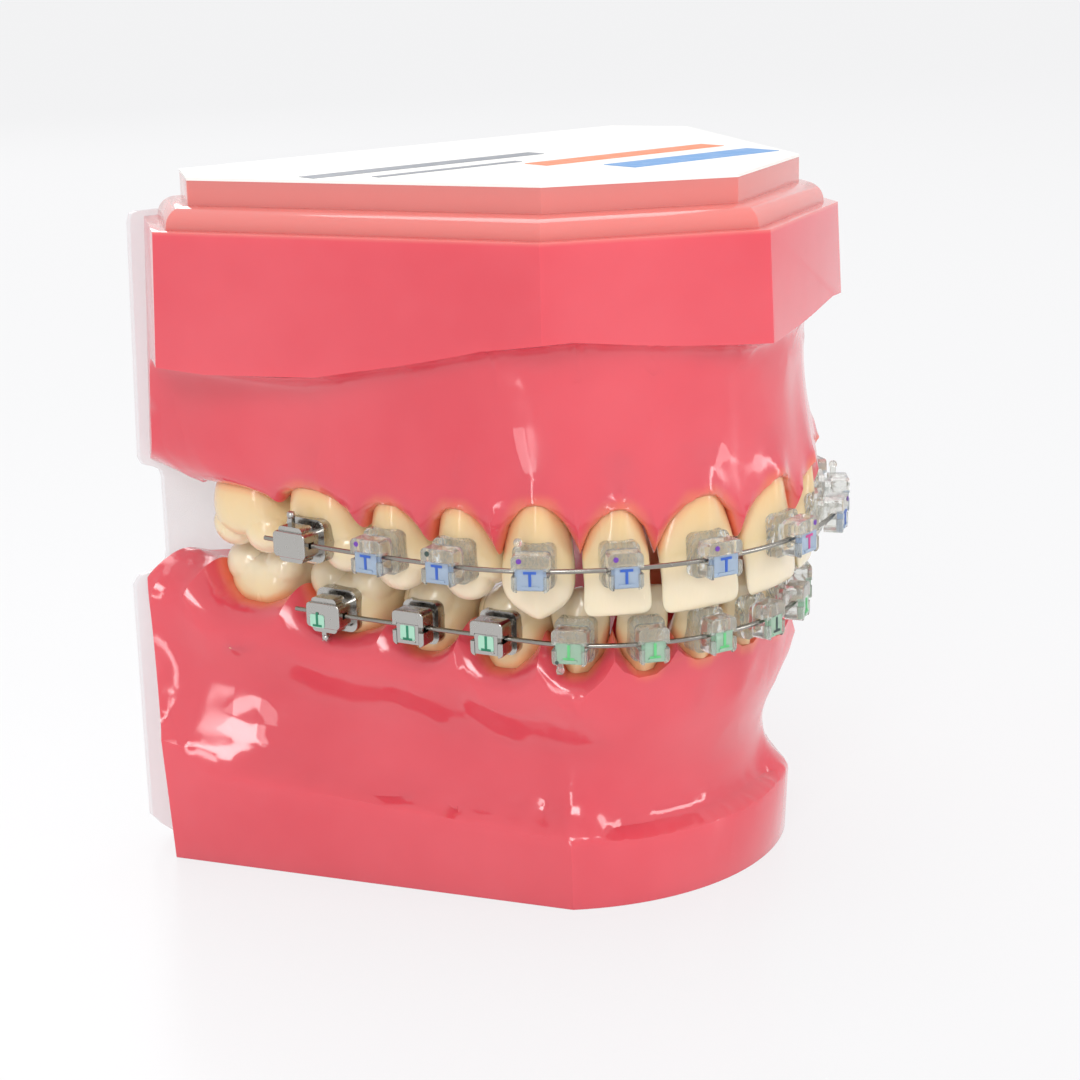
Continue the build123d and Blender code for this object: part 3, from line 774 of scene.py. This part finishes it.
def makeLabel():
    smoothed("label", labelFilm)
    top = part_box("label")[1].z
    lift = labelLook["lift"]
    for count, (ink, x, y, width, depth) in enumerate(labelLook["bars"]):
        work = bmesh.new()
        addPlate(work, Matrix.Translation((x * mm, y * mm, top + lift / 2)), width * mm, depth * mm, lift)
        finishPrint("label_bar_%d" % count, work, ink, "upper")


makeLabel()
print("label made")

studio = {
    "background": tone(245, 245, 246),
    "surround": 0.72,
    "floorShown": 0.82,                  # how much of the plain background the camera sees in the floor
    "floorHalf": 12.0,
    "floorDrop": 0.05 * mm,              # keeps it clear of the cast's underside
    "lamps": [
        # name, place in metres, width and height in metres, power in watts
        ("key", (-0.50, -0.42, 0.46), (0.30, 0.20), 1.8),
        ("front", (0.30, -0.62, 0.38), (0.30, 0.20), 1.0),
        ("top", (0.05, 0.10, 0.80), (0.50, 0.35), 1.8),
        ("rim", (0.25, 0.75, 0.40), (0.40, 0.28), 1.2),
        ("leftStrip", (-0.62, -0.30, 0.12), (0.07, 0.42), 0.6),
        ("rightStrip", (0.42, -0.50, 0.12), (0.07, 0.42), 0.6),
    ],
    "aim": (0.0, 0.0, 0.03),
}


def plainRays(tree, share=1.0):
    # 1 for rays that should meet the plain background
    path = tree.nodes.new("ShaderNodeLightPath")
    total = path.outputs["Is Camera Ray"]
    for kind in ("Is Glossy Ray", "Is Transmission Ray"):
        either = tree.nodes.new("ShaderNodeMath")
        either.operation = "MAXIMUM"
        tree.links.new(total, either.inputs[0])
        tree.links.new(path.outputs[kind], either.inputs[1])
        total = either.outputs[0]
    weigh = tree.nodes.new("ShaderNodeMath")
    weigh.operation = "MULTIPLY"
    weigh.inputs[1].default_value = share
    tree.links.new(total, weigh.inputs[0])
    return weigh.outputs[0]


def blendShaders(tree, mask, first, second, output):
    choose = tree.nodes.new("ShaderNodeMixShader")
    tree.links.new(mask, choose.inputs[0])
    tree.links.new(first, choose.inputs[1])
    tree.links.new(second, choose.inputs[2])
    tree.links.new(choose.outputs[0], output)


def makeStudio():
    world = bpy.data.worlds.new("studio")
    bpy.context.scene.world = world
    world.use_nodes = True
    tree = world.node_tree
    light = tree.nodes["Background"]
    light.inputs["Color"].default_value = (1, 1, 1, 1)
    light.inputs["Strength"].default_value = studio["surround"]
    seen = tree.nodes.new("ShaderNodeBackground")
    seen.inputs["Color"].default_value = studio["background"]
    blendShaders(tree, plainRays(tree), light.outputs[0], seen.outputs[0],
                 tree.nodes["World Output"].inputs["Surface"])

    work = bmesh.new()
    bmesh.ops.create_grid(work, x_segments=1, y_segments=1, size=studio["floorHalf"])
    mesh = bpy.data.meshes.new("floor")
    work.to_mesh(mesh)
    work.free()
    board = Finish("paleFloor", Base_Color=studio["background"], Roughness=0.25, Specular_IOR_Level=0.5)
    tree = board.tree
    seen = tree.nodes.new("ShaderNodeEmission")
    seen.inputs["Color"].default_value = studio["background"]
    blendShaders(tree, plainRays(tree, studio["floorShown"]), board.shader.outputs[0], seen.outputs[0],
                 tree.nodes["Material Output"].inputs["Surface"])
    floor = newPiece("floor", mesh, board.material)
    floor.location.z = -studio["floorDrop"]

    for name, place, size, power in studio["lamps"]:
        lamp = bpy.data.lights.new(name, "AREA")
        lamp.shape = "RECTANGLE"
        lamp.size, lamp.size_y = size
        lamp.energy = power
        holder = bpy.data.objects.new(name, lamp)
        bpy.context.scene.collection.objects.link(holder)
        holder.location = place
        holder.rotation_euler = (Vector(studio["aim"]) - Vector(place)).to_track_quat("-Z", "Y").to_euler()


makeStudio()

camera = {
    "place": (-135.88 * mm, -153.43 * mm, 84.0 * mm),
    "heading": radians(40.714),
    "down": radians(14.863),
    "roll": radians(-1.425),
    "lens": 75.3,
    "shiftY": -10 / 1080,
}


def makeCamera():
    heading, down, roll = camera["heading"], camera["down"], camera["roll"]
    forward = Vector((sin(heading) * cos(down), cos(heading) * cos(down), -sin(down)))
    level = Vector((cos(heading), -sin(heading), 0))
    rise = level.cross(forward)
    right = level * cos(roll) + rise * sin(roll)
    up = rise * cos(roll) - level * sin(roll)
    data = bpy.data.cameras.new("photoCamera")
    data.lens = camera["lens"]
    data.sensor_width = 36.0
    data.shift_y = camera["shiftY"]
    data.clip_start, data.clip_end = 0.01, 50.0
    holder = bpy.data.objects.new("photoCamera", data)
    bpy.context.scene.collection.objects.link(holder)
    holder.matrix_world = Matrix.Translation(camera["place"]) @ Matrix((right, up, -forward)).transposed().to_4x4()
    bpy.context.scene.camera = holder


makeCamera()
bpy.context.scene.view_settings.view_transform = "Standard"
print("studio and camera set")
